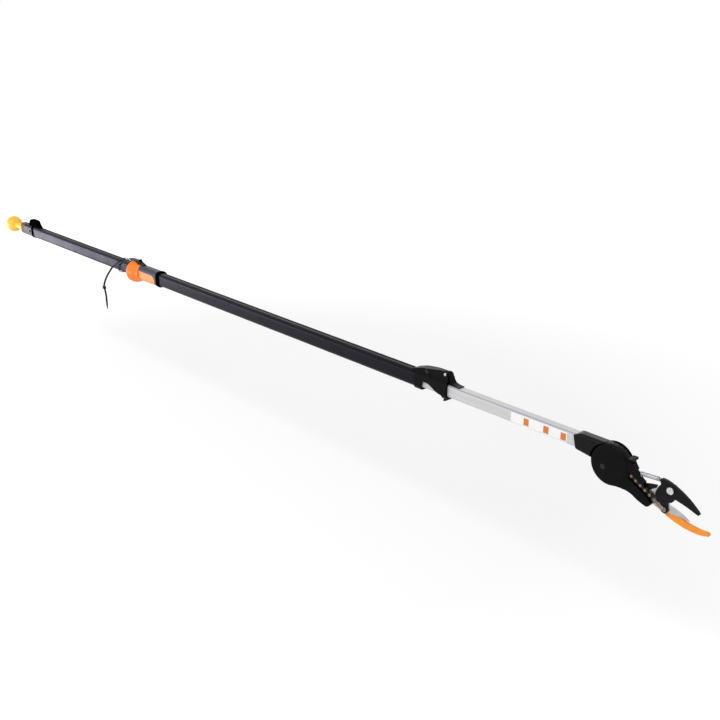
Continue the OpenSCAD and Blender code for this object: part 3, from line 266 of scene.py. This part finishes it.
def linear(code):  # sRGB hex to linear colour
    parts = [int(code[i:i + 2], 16) / 255 for i in (1, 3, 5)]
    return [c / 12.92 if c <= 0.04045 else ((c + 0.055) / 1.055) ** 2.4 for c in parts] + [1]


def perMetre(mm):  # scale of a noise or cell pattern with features of this size
    return 1000 / mm


def wavesPerMetre(mm):  # scale of a wave, which repeats every pi / 10 / scale
    return math.pi / 10 / (mm / 1000)


def addNode(tree, kind, values=None, links=None, stops=None, **settings):
    node = tree.nodes.new("ShaderNode" + kind)
    for key, value in settings.items():
        setattr(node, key, value)
    for key, value in (values or {}).items():
        node.inputs[key].default_value = value
    for key, source in (links or {}).items():
        tree.links.new(source, node.inputs[key])
    for element, (position, code) in zip(node.color_ramp.elements if stops else (), stops or ()):
        element.position = position
        element.color = linear(code)
    return node


def bareTree(owner):  # an empty node tree in a material or the world
    owner.use_nodes = True
    owner.node_tree.nodes.clear()
    return owner.node_tree


def startMaterial(name, **values):  # a bare material: its tree, its shader and its place on the object
    material = bpy.data.materials.new(name)
    tree = bareTree(material)
    shader = addNode(tree, "BsdfPrincipled", values={key.replace("_", " "): value for key, value in values.items()})
    addNode(tree, "OutputMaterial", links={"Surface": shader.outputs[0]})
    place = addNode(tree, "TexCoord").outputs["Object"]
    return material, tree, shader, place


def reopen(material):  # a made material: its tree, its colour input, the colour so far and its place on the object
    tree = material.node_tree
    shader = next(node for node in tree.nodes if node.type == "BSDF_PRINCIPLED")
    colourInput = shader.inputs["Base Color"]
    return tree, colourInput, colourInput.links[0].from_socket, addNode(tree, "TexCoord").outputs["Object"]


# a bevel in the shading shows where the edges are, and they are rubbed paler in patches
def wornEdges(tree, tint, worn, patches, edge):
    soft = addNode(tree, "Bevel", values={"Radius": edge["radius"]}, samples=4)
    flat = addNode(tree, "NewGeometry")
    bend = addNode(tree, "VectorMath", links={0: soft.outputs["Normal"], 1: flat.outputs["Normal"]},
                   operation="DOT_PRODUCT")
    rub = addNode(tree, "MapRange", links={"Value": bend.outputs["Value"]},
                  values={"From Min": edge["starts"], "From Max": edge["full"], "To Min": 0, "To Max": edge["most"]})
    patchy = addNode(tree, "Math", links={0: rub.outputs["Result"], 1: patches.outputs["Fac"]}, operation="MULTIPLY")
    colour = addNode(tree, "Mix", values={"B": linear(worn)}, data_type="RGBA",
                     links={"Factor": patchy.outputs["Value"], "A": tint.outputs["Color"]})
    return colour.outputs[2], soft.outputs["Normal"]


# moulded plastic: spark-eroded grain that scatters the light, cloudy gloss, edges rubbed a little paler.
# The grain is in mm, drawn coarser than real so that it shows
def mouldedPlastic(name, base, cloudy, worn, rough, grain=0.6, depth=0.00006, **values):
    material, tree, shader, place = startMaterial(name, **values)
    cloud = addNode(tree, "TexNoise", values={"Scale": perMetre(14), "Detail": 4, "Roughness": 0.6},
                    links={"Vector": place})
    tint = addNode(tree, "ValToRGB", links={"Fac": cloud.outputs["Fac"]}, stops=[(0.32, base), (0.78, cloudy)])
    colour, softNormal = wornEdges(tree, tint, worn, cloud,
                                   {"radius": 0.0007, "starts": 0.985, "full": 0.8, "most": 0.6})
    tree.links.new(colour, shader.inputs["Base Color"])
    gloss = addNode(tree, "MapRange", links={"Value": cloud.outputs["Fac"]},
                    values={"From Min": 0.3, "From Max": 0.75, "To Min": rough - 0.06, "To Max": rough + 0.08})
    tree.links.new(gloss.outputs["Result"], shader.inputs["Roughness"])
    grit = addNode(tree, "TexVoronoi", values={"Scale": perMetre(grain)}, links={"Vector": place})
    bump = addNode(tree, "Bump", values={"Strength": 0.25, "Distance": depth},
                   links={"Height": grit.outputs["Distance"], "Normal": softNormal})
    tree.links.new(bump.outputs["Normal"], shader.inputs["Normal"])
    return material


# drawn and anodised aluminium: fine lines along the tube, a soft sheen, dull marks from use
def anodisedTube(name, base, pale, rough, **values):
    material, tree, shader, place = startMaterial(name, **values)
    drawn = addNode(tree, "Mapping", links={"Vector": place},  # lines 1.2 mm apart, coarser than real
                    values={"Scale": (perMetre(167), perMetre(1.2), perMetre(1.2))})
    lines = addNode(tree, "TexNoise", values={"Scale": 1, "Detail": 3, "Roughness": 0.55},
                    links={"Vector": drawn.outputs["Vector"]})
    tint = addNode(tree, "ValToRGB", links={"Fac": lines.outputs["Fac"]}, stops=[(0.3, base), (0.8, pale)])
    tree.links.new(tint.outputs["Color"], shader.inputs["Base Color"])
    marks = addNode(tree, "TexNoise", values={"Scale": perMetre(35), "Detail": 5, "Roughness": 0.65},
                    links={"Vector": place})
    dull = addNode(tree, "MapRange", links={"Value": marks.outputs["Fac"]},
                   values={"From Min": 0.35, "From Max": 0.7, "To Min": rough - 0.05, "To Max": rough + 0.1})
    tree.links.new(dull.outputs["Result"], shader.inputs["Roughness"])
    bump = addNode(tree, "Bump", values={"Strength": 0.12, "Distance": 0.00004},
                   links={"Height": lines.outputs["Fac"]})
    tree.links.new(bump.outputs["Normal"], shader.inputs["Normal"])
    return material


# steel, bare or coated: fine turned or ground lines, grey staining, edges rubbed bright.
# The lines' spacing is in mm along each axis, drawn coarser than real so that it shows
def workedSteel(name, base, pale, worn, rough, spacing, **values):
    material, tree, shader, place = startMaterial(name, **values)
    ground = addNode(tree, "Mapping", values={"Scale": [perMetre(mm) for mm in spacing]}, links={"Vector": place})
    lines = addNode(tree, "TexNoise", values={"Scale": 1, "Detail": 4, "Roughness": 0.6},
                    links={"Vector": ground.outputs["Vector"]})
    stain = addNode(tree, "TexNoise", values={"Scale": perMetre(9), "Detail": 4, "Roughness": 0.6},
                    links={"Vector": place})
    tint = addNode(tree, "ValToRGB", links={"Fac": stain.outputs["Fac"]}, stops=[(0.35, base), (0.7, pale)])
    colour, softNormal = wornEdges(tree, tint, worn, stain,
                                   {"radius": 0.0004, "starts": 0.98, "full": 0.78, "most": 0.8})
    tree.links.new(colour, shader.inputs["Base Color"])
    dull = addNode(tree, "MapRange", links={"Value": lines.outputs["Fac"]},
                   values={"From Min": 0.3, "From Max": 0.7, "To Min": rough - 0.08, "To Max": rough + 0.08})
    tree.links.new(dull.outputs["Result"], shader.inputs["Roughness"])
    bump = addNode(tree, "Bump", values={"Strength": 0.15, "Distance": 0.00003},
                   links={"Height": lines.outputs["Fac"], "Normal": softNormal})
    tree.links.new(bump.outputs["Normal"], shader.inputs["Normal"])
    return material


# woven webbing: warp and weft 1.4 mm apart, matt with a soft sheen
def wovenWebbing(name, base, pale):
    material, tree, shader, place = startMaterial(name, Roughness=0.85, Sheen_Weight=0.3, Specular_IOR_Level=0.2)
    warp, weft = (addNode(tree, "TexWave", values={"Scale": wavesPerMetre(1.4), "Distortion": 0.4},
                          links={"Vector": place}, bands_direction=direction) for direction in "XY")
    weave = addNode(tree, "Math", links={0: warp.outputs["Fac"], 1: weft.outputs["Fac"]}, operation="MULTIPLY")
    tint = addNode(tree, "ValToRGB", links={"Fac": weave.outputs["Value"]}, stops=[(0.1, base), (0.8, pale)])
    tree.links.new(tint.outputs["Color"], shader.inputs["Base Color"])
    bump = addNode(tree, "Bump", values={"Strength": 0.5, "Distance": 0.0002},
                   links={"Height": weave.outputs["Value"]})
    tree.links.new(bump.outputs["Normal"], shader.inputs["Normal"])
    return material


# the outer tube is dyed black with a faint violet sheen, and the inner one is a pale satin silver
darkTube = anodisedTube("anodisedBlackAluminium", "#0C0B10", "#15141A", rough=0.3,
                        Specular_IOR_Level=0.11, Specular_Tint=linear("#CFCAF2"))
brightTube = anodisedTube("anodisedSilverAluminium", "#BABABA", "#CACACA", rough=0.42,
                          Metallic=0.2, Specular_IOR_Level=0.05)

# a glossy ball, satin handle and housings, matt rubber; the hook's powder coat has an orange peel for its grain
ballPlastic = mouldedPlastic("yellowAbsGloss", "#F3B63A", "#F8C44C", "#FFD67C", rough=0.36,
                             grain=0.9, depth=0.000006, Specular_IOR_Level=0.3)
bellPlastic = mouldedPlastic("orangeAbs", "#EA7416", "#F07E22", "#FFA860", rough=0.4, Specular_IOR_Level=0.35)
gripPlastic = mouldedPlastic("greyAbsGrip", "#33323A", "#3E3D47", "#565560", rough=0.5,
                             grain=0.7, Specular_IOR_Level=0.25)
blackPlastic = mouldedPlastic("blackGlassNylon", "#050506", "#0B0B0D", "#1E1E22", rough=0.36,
                              Specular_IOR_Level=0.06)
socketPlastic = mouldedPlastic("blackPolishedNylon", "#050506", "#0B0B0D", "#1E1E22", rough=0.24,
                               Specular_IOR_Level=0.13)
softBlack = mouldedPlastic("blackSoftRubber", "#050506", "#0A0A0B", "#161618", rough=0.8,
                           grain=0.8, Specular_IOR_Level=0)
ringPlastic = mouldedPlastic("brownAcetal", "#6A4A2A", "#7C5C3C", "#907252", rough=0.5, Specular_IOR_Level=0.05)
hookCoat = mouldedPlastic("orangePowderCoat", "#E2851A", "#EA942A", "#FFBE72", rough=0.36,
                          grain=1.1, depth=0.00005, Specular_IOR_Level=0.35)

# bright zinc and spring wire, a ground blade with lines along it, dark oxide and coating, and a brown oily chain
# darkened further by painted shade
zincSteel = workedSteel("zincPlatedSteel", "#B9BABF", "#D6D6DA", "#F0F0F2", rough=0.3,
                        spacing=(1.11, 1.11, 1.11), Metallic=1)
darkScrew = workedSteel("blackOxideSteel", "#0E0E10", "#1C1C1F", "#6A6A6E", rough=0.3,
                        spacing=(1.11, 1.11, 1.11), Specular_IOR_Level=0.3)
axleSteel = workedSteel("turnedAxleSteel", "#9C9CA2", "#BCBCC2", "#DADADE", rough=0.34,
                        spacing=(1.11, 3.33, 1.11), Metallic=1)
bladeSteel = workedSteel("groundBladeSteel", "#A2A2A0", "#BEBEBC", "#E0E0DE", rough=0.34,
                         spacing=(8.33, 1.11, 0.833), Metallic=1)
springSteel = workedSteel("springSteelWire", "#9C9CA2", "#C2C2C8", "#E8E8EC", rough=0.26,
                          spacing=(1.43, 1.43, 1.43), Metallic=1)
jawCoat = workedSteel("blackCoatedSteel", "#0B0A0E", "#141318", "#3C3A42", rough=0.38,
                      spacing=(6.25, 1.11, 1.43), Specular_IOR_Level=0.1)
# the chain is a dark oily steel, drawn darker still as painted shade for the recess in the arm that it runs through
shadedChainSteel = workedSteel("oiledShadedChainSteel", "#211D1A", "#3A342E", "#8C8278", rough=0.4,
                         spacing=(2, 2, 2), Metallic=1)
strapWeb = wovenWebbing("blackPolyesterWebbing", "#0C0C0E", "#242428")

# a dim line painted along the upper near corner of the bright extrusion: painted shade standing in for a dark
# reflection along that corner, as the shape has no groove there
cornerShade = {"middle": (0, -0.0077, 0.0088), "half": 0.0006, "fade": 0.0007, "depth": 0.7, "colour": "#77778A"}
tree, colourInput, plain, place = reopen(brightTube)
crossPlace = addNode(tree, "VectorMath", values={1: (0, 1, 1)}, links={0: place}, operation="MULTIPLY")
away = addNode(tree, "VectorMath", values={1: cornerShade["middle"]}, links={0: crossPlace.outputs["Vector"]},
               operation="DISTANCE")
dim = addNode(tree, "MapRange", links={"Value": away.outputs["Value"]},
              values={"From Min": cornerShade["half"], "From Max": cornerShade["half"] + cornerShade["fade"],
                      "To Min": cornerShade["depth"], "To Max": 0})
cornerShaded = addNode(tree, "Mix", values={"B": linear(cornerShade["colour"])}, data_type="RGBA",
                  links={"Factor": dim.outputs["Result"], "A": plain})
tree.links.new(cornerShaded.outputs[2], colourInput)

# the bell is a deeper orange than the lower half of the grip; that lower half is the same plastic painted paler, a
# painted highlight for the brighter light it catches
gripLitTone = {"from": -0.356, "to": -0.346, "share": 0.75, "litColour": "#F5924C"}
tree, colourInput, deep, place = reopen(bellPlastic)
axes = addNode(tree, "SeparateXYZ", links={"Vector": place})
reach = addNode(tree, "MapRange", links={"Value": axes.outputs["X"]},
                values={"From Min": gripLitTone["from"], "From Max": gripLitTone["to"],
                        "To Min": 0, "To Max": gripLitTone["share"]})
litGrip = addNode(tree, "Mix", values={"B": linear(gripLitTone["litColour"])}, data_type="RGBA",
               links={"Factor": reach.outputs["Result"], "A": deep})
tree.links.new(litGrip.outputs[2], colourInput)

# oily dark link plates with bright riveted pin ends, the pins also painted highlights on the links; where the chain
# runs out to the jaw, out of the arm's shade, the plates get a painted light
chainMarks = {"end": (1.1458, 0, -0.0583), "along": (0.8712, 0, -0.4909), "across": (0.4909, 0, 0.8712),
              "pitch": 0.009525, "pinEdge": (0.0019, 0.0027), "bright": (-0.024, -0.008), "brightShare": 0.8,
              "pinGlintColour": "#7C7268", "litOutOfShade": "#9C908A"}
tree, colourInput, oilyShaded, place = reopen(shadedChainSteel)
fromEnd = addNode(tree, "VectorMath", values={1: chainMarks["end"]}, links={0: place}, operation="SUBTRACT")
along, across = (addNode(tree, "VectorMath", values={1: chainMarks[way]}, links={0: fromEnd.outputs["Vector"]},
                         operation="DOT_PRODUCT") for way in ("along", "across"))
step = addNode(tree, "Math", values={1: chainMarks["pitch"] / 2, 2: -chainMarks["pitch"] / 2},
               links={0: along.outputs["Value"]}, operation="WRAP")
nearPin = addNode(tree, "CombineXYZ", links={"X": step.outputs["Value"], "Y": across.outputs["Value"]})
pinReach = addNode(tree, "VectorMath", links={0: nearPin.outputs["Vector"]}, operation="LENGTH")
pin = addNode(tree, "MapRange", links={"Value": pinReach.outputs["Value"]},
              values={"From Min": chainMarks["pinEdge"][0], "From Max": chainMarks["pinEdge"][1],
                      "To Min": 1, "To Max": 0})
litOutOfShade = addNode(tree, "MapRange", links={"Value": along.outputs["Value"]},
                 values={"From Min": chainMarks["bright"][0], "From Max": chainMarks["bright"][1],
                         "To Min": 0, "To Max": chainMarks["brightShare"]})
plates = addNode(tree, "Mix", values={"B": linear(chainMarks["litOutOfShade"])}, data_type="RGBA",
                 links={"Factor": litOutOfShade.outputs["Result"], "A": oilyShaded})
pinned = addNode(tree, "Mix", values={"B": linear(chainMarks["pinGlintColour"])}, data_type="RGBA",
                 links={"Factor": pin.outputs["Result"], "A": plates.outputs[2]})
tree.links.new(pinned.outputs[2], colourInput)

# tie nylon: moulded, a dull black gloss broken by cross teeth 1.2 mm apart along the band, drawn coarser than real
tieNylon, tree, shader, place = startMaterial("blackTieNylon", Specular_IOR_Level=0.15)
bandPlace = addNode(tree, "UVMap", uv_map="alongBand")
teeth = addNode(tree, "TexWave", values={"Scale": wavesPerMetre(1.2)}, links={"Vector": bandPlace.outputs["UV"]},
                bands_direction="X")
cloud = addNode(tree, "TexNoise", values={"Scale": perMetre(8), "Detail": 4}, links={"Vector": place})
tint = addNode(tree, "ValToRGB", links={"Fac": cloud.outputs["Fac"]}, stops=[(0.3, "#09090A"), (0.75, "#131315")])
tree.links.new(tint.outputs["Color"], shader.inputs["Base Color"])
gloss = addNode(tree, "MapRange", values={"To Min": 0.34, "To Max": 0.5}, links={"Value": cloud.outputs["Fac"]})
tree.links.new(gloss.outputs["Result"], shader.inputs["Roughness"])
bump = addNode(tree, "Bump", values={"Strength": 0.4, "Distance": 0.0002}, links={"Height": teeth.outputs["Fac"]})
tree.links.new(bump.outputs["Normal"], shader.inputs["Normal"])

# label paper: coated and printed, a flat white with a soft gloss and three plain orange squares
labelPaper, tree, shader, place = startMaterial("whiteLabelPaper", Roughness=0.45, Specular_IOR_Level=0.25)
axes = addNode(tree, "SeparateXYZ", links={"Vector": place})
columns = None
for x in label["squares"]:
    column = addNode(tree, "Math", values={1: x, 2: label["squareLength"] / 2}, links={0: axes.outputs["X"]},
                     operation="COMPARE")
    if columns:
        column = addNode(tree, "Math", links={0: columns.outputs["Value"], 1: column.outputs["Value"]},
                         operation="ADD")
    columns = column
row = addNode(tree, "Math", links={0: axes.outputs["Z"]}, operation="COMPARE",
              values={1: (label["squareTop"] + label["squareBottom"]) / 2,
                      2: (label["squareTop"] - label["squareBottom"]) / 2})
square = addNode(tree, "Math", links={0: columns.outputs["Value"], 1: row.outputs["Value"]}, operation="MULTIPLY")
fibre = addNode(tree, "TexNoise", values={"Scale": perMetre(2), "Detail": 4}, links={"Vector": place})
paper = addNode(tree, "ValToRGB", links={"Fac": fibre.outputs["Fac"]},
                stops=[(0.3, label["paper"]), (0.7, label["palerPaper"])])
printed = addNode(tree, "Mix", values={"B": linear(label["squareColour"])}, data_type="RGBA",
                  links={"Factor": square.outputs["Value"], "A": paper.outputs["Color"]})
tree.links.new(printed.outputs[2], shader.inputs["Base Color"])

finishes = {
    darkTube: ["outer_tube"], brightTube: ["inner_tube"], ballPlastic: ["ball_knob"], bellPlastic: ["handle_bell"],
    gripPlastic: ["grip_sleeve"], ringPlastic: ["end_plug"], hookCoat: ["hook"], jawCoat: ["cutting_jaw"],
    bladeSteel: ["counter_blade"], socketPlastic: ["head_socket"],
    shadedChainSteel: ["chain_inner_links", "chain_outer_links", "chain_sprocket"],
    strapWeb: ["channel_strap", "ball_strap", "inner_strap"],
    softBlack: ["hangup_fin", "fin_band", "grip_lip", "clamp_pad"],
    blackPlastic: ["clamp_body", "clamp_lever", "handle_latch", "strap_shoe", "foot_bush", "front_housing",
                   "rear_housing", "angle_lock", "strap_drum"],
    zincSteel: ["lever_pin", "pivot_bolt", "pivot_nut", "hook_rivets"],
    # the plug screw gets the dark oxide too, which also stands in for painted shade in a hole at that spot
    darkScrew: ["plug_screw", "clamp_screw", "latch_pin", "socket_screws", "housing_screw", "spring_pin"],
    axleSteel: ["swivel_axle", "gear_axle", "reduction_gear"]}
for material, names in finishes.items():
    for name in names:
        nodes[name].material_slots[0].material = material
pieceFinishes = {tieNylon: [tie, tieHead], labelPaper: [labelStrip], jawCoat: [spine],
                 springSteel: [spring, springEnd]}
for material, pieces in pieceFinishes.items():
    for piece in pieces:
        piece.data.materials.append(material)
print("finishes set:", len({*finishes, *pieceFinishes}))

# pale floor that keeps the shadow, and soft light from large panels
studio = {"floor": -0.32, "floorSize": 60, "floorColour": "#F0F0F0", "nearLift": 0.11, "farLift": 0.56,
          "liftFrom": 0.9, "liftTo": 3.0, "worldLight": 0.55}
panels = {"keyPanel": {"place": (0.6, -2.6, 2.6), "target": (0.2, 0, 0), "size": (3.0, 3.0),
                       "watts": 95, "colour": "#FFFFFF"},
          "backPanel": {"place": (-1.5, 2.4, 1.4), "target": (-0.4, 0, 0), "size": (4.4, 1.6),
                        "watts": 20, "colour": "#FFFFFF"},
          "leftPanel": {"place": (-1.40, -0.84, -0.26), "target": (-0.30, 0, 0.02), "size": (1.9, 0.6),
                        "watts": 17, "colour": "#EFEBFF"}}


def seenRays(tree):  # 1 for camera, glossy and transmission rays
    rays = addNode(tree, "LightPath")
    seen = rays.outputs["Is Camera Ray"]
    for kind in ("Is Glossy Ray", "Is Transmission Ray"):
        seen = addNode(tree, "Math", links={0: seen, 1: rays.outputs[kind]}, operation="MAXIMUM").outputs["Value"]
    return seen


bm = bmesh.new()
bmesh.ops.create_grid(bm, x_segments=1, y_segments=1, size=studio["floorSize"] / 2,
                      matrix=Matrix.Translation((0, 0, studio["floor"])))
floor = addObject("studioFloor", bm)
floorPaper = bpy.data.materials.new("whitePaperFloor")
tree = bareTree(floorPaper)
spot = addNode(tree, "TexCoord")
far = addNode(tree, "VectorMath", links={0: spot.outputs["Object"]}, operation="LENGTH")
grow = addNode(tree, "MapRange", links={"Value": far.outputs["Value"]},  # the lamps reach less far
               values={"From Min": studio["liftFrom"], "From Max": studio["liftTo"],
                       "To Min": studio["nearLift"], "To Max": studio["farLift"]})
lift = addNode(tree, "Math", links={0: seenRays(tree), 1: grow.outputs["Result"]}, operation="MULTIPLY")
glow = addNode(tree, "Emission", values={"Color": (1, 1, 1, 1)}, links={"Strength": lift.outputs["Value"]})
matt = addNode(tree, "BsdfDiffuse", values={"Color": linear(studio["floorColour"])})
both = addNode(tree, "AddShader", links={0: glow.outputs["Emission"], 1: matt.outputs["BSDF"]})
addNode(tree, "OutputMaterial", links={"Surface": both.outputs["Shader"]})
floor.data.materials.append(floorPaper)

for name, panel in panels.items():
    lamp = bpy.data.lights.new(name, "AREA")
    lamp.shape = "RECTANGLE"
    lamp.size, lamp.size_y = panel["size"]
    lamp.energy = panel["watts"]
    lamp.color = linear(panel["colour"])[:3]
    hung = bpy.data.objects.new(name, lamp)
    scene.collection.objects.link(hung)
    hung.location = panel["place"]
    aimAlong(hung, Vector(panel["target"]) - Vector(panel["place"]))

world = bpy.data.worlds.new("whiteStudio")
scene.world = world
tree = bareTree(world)
skyLight = addNode(tree, "MapRange", values={"To Min": studio["worldLight"], "To Max": 1},
                   links={"Value": seenRays(tree)})
sky = addNode(tree, "Background", values={"Color": (1, 1, 1, 1)}, links={"Strength": skyLight.outputs["Result"]})
addNode(tree, "OutputWorld", links={"Surface": sky.outputs["Background"]})
scene.view_settings.view_transform = "Standard"
print("studio set")
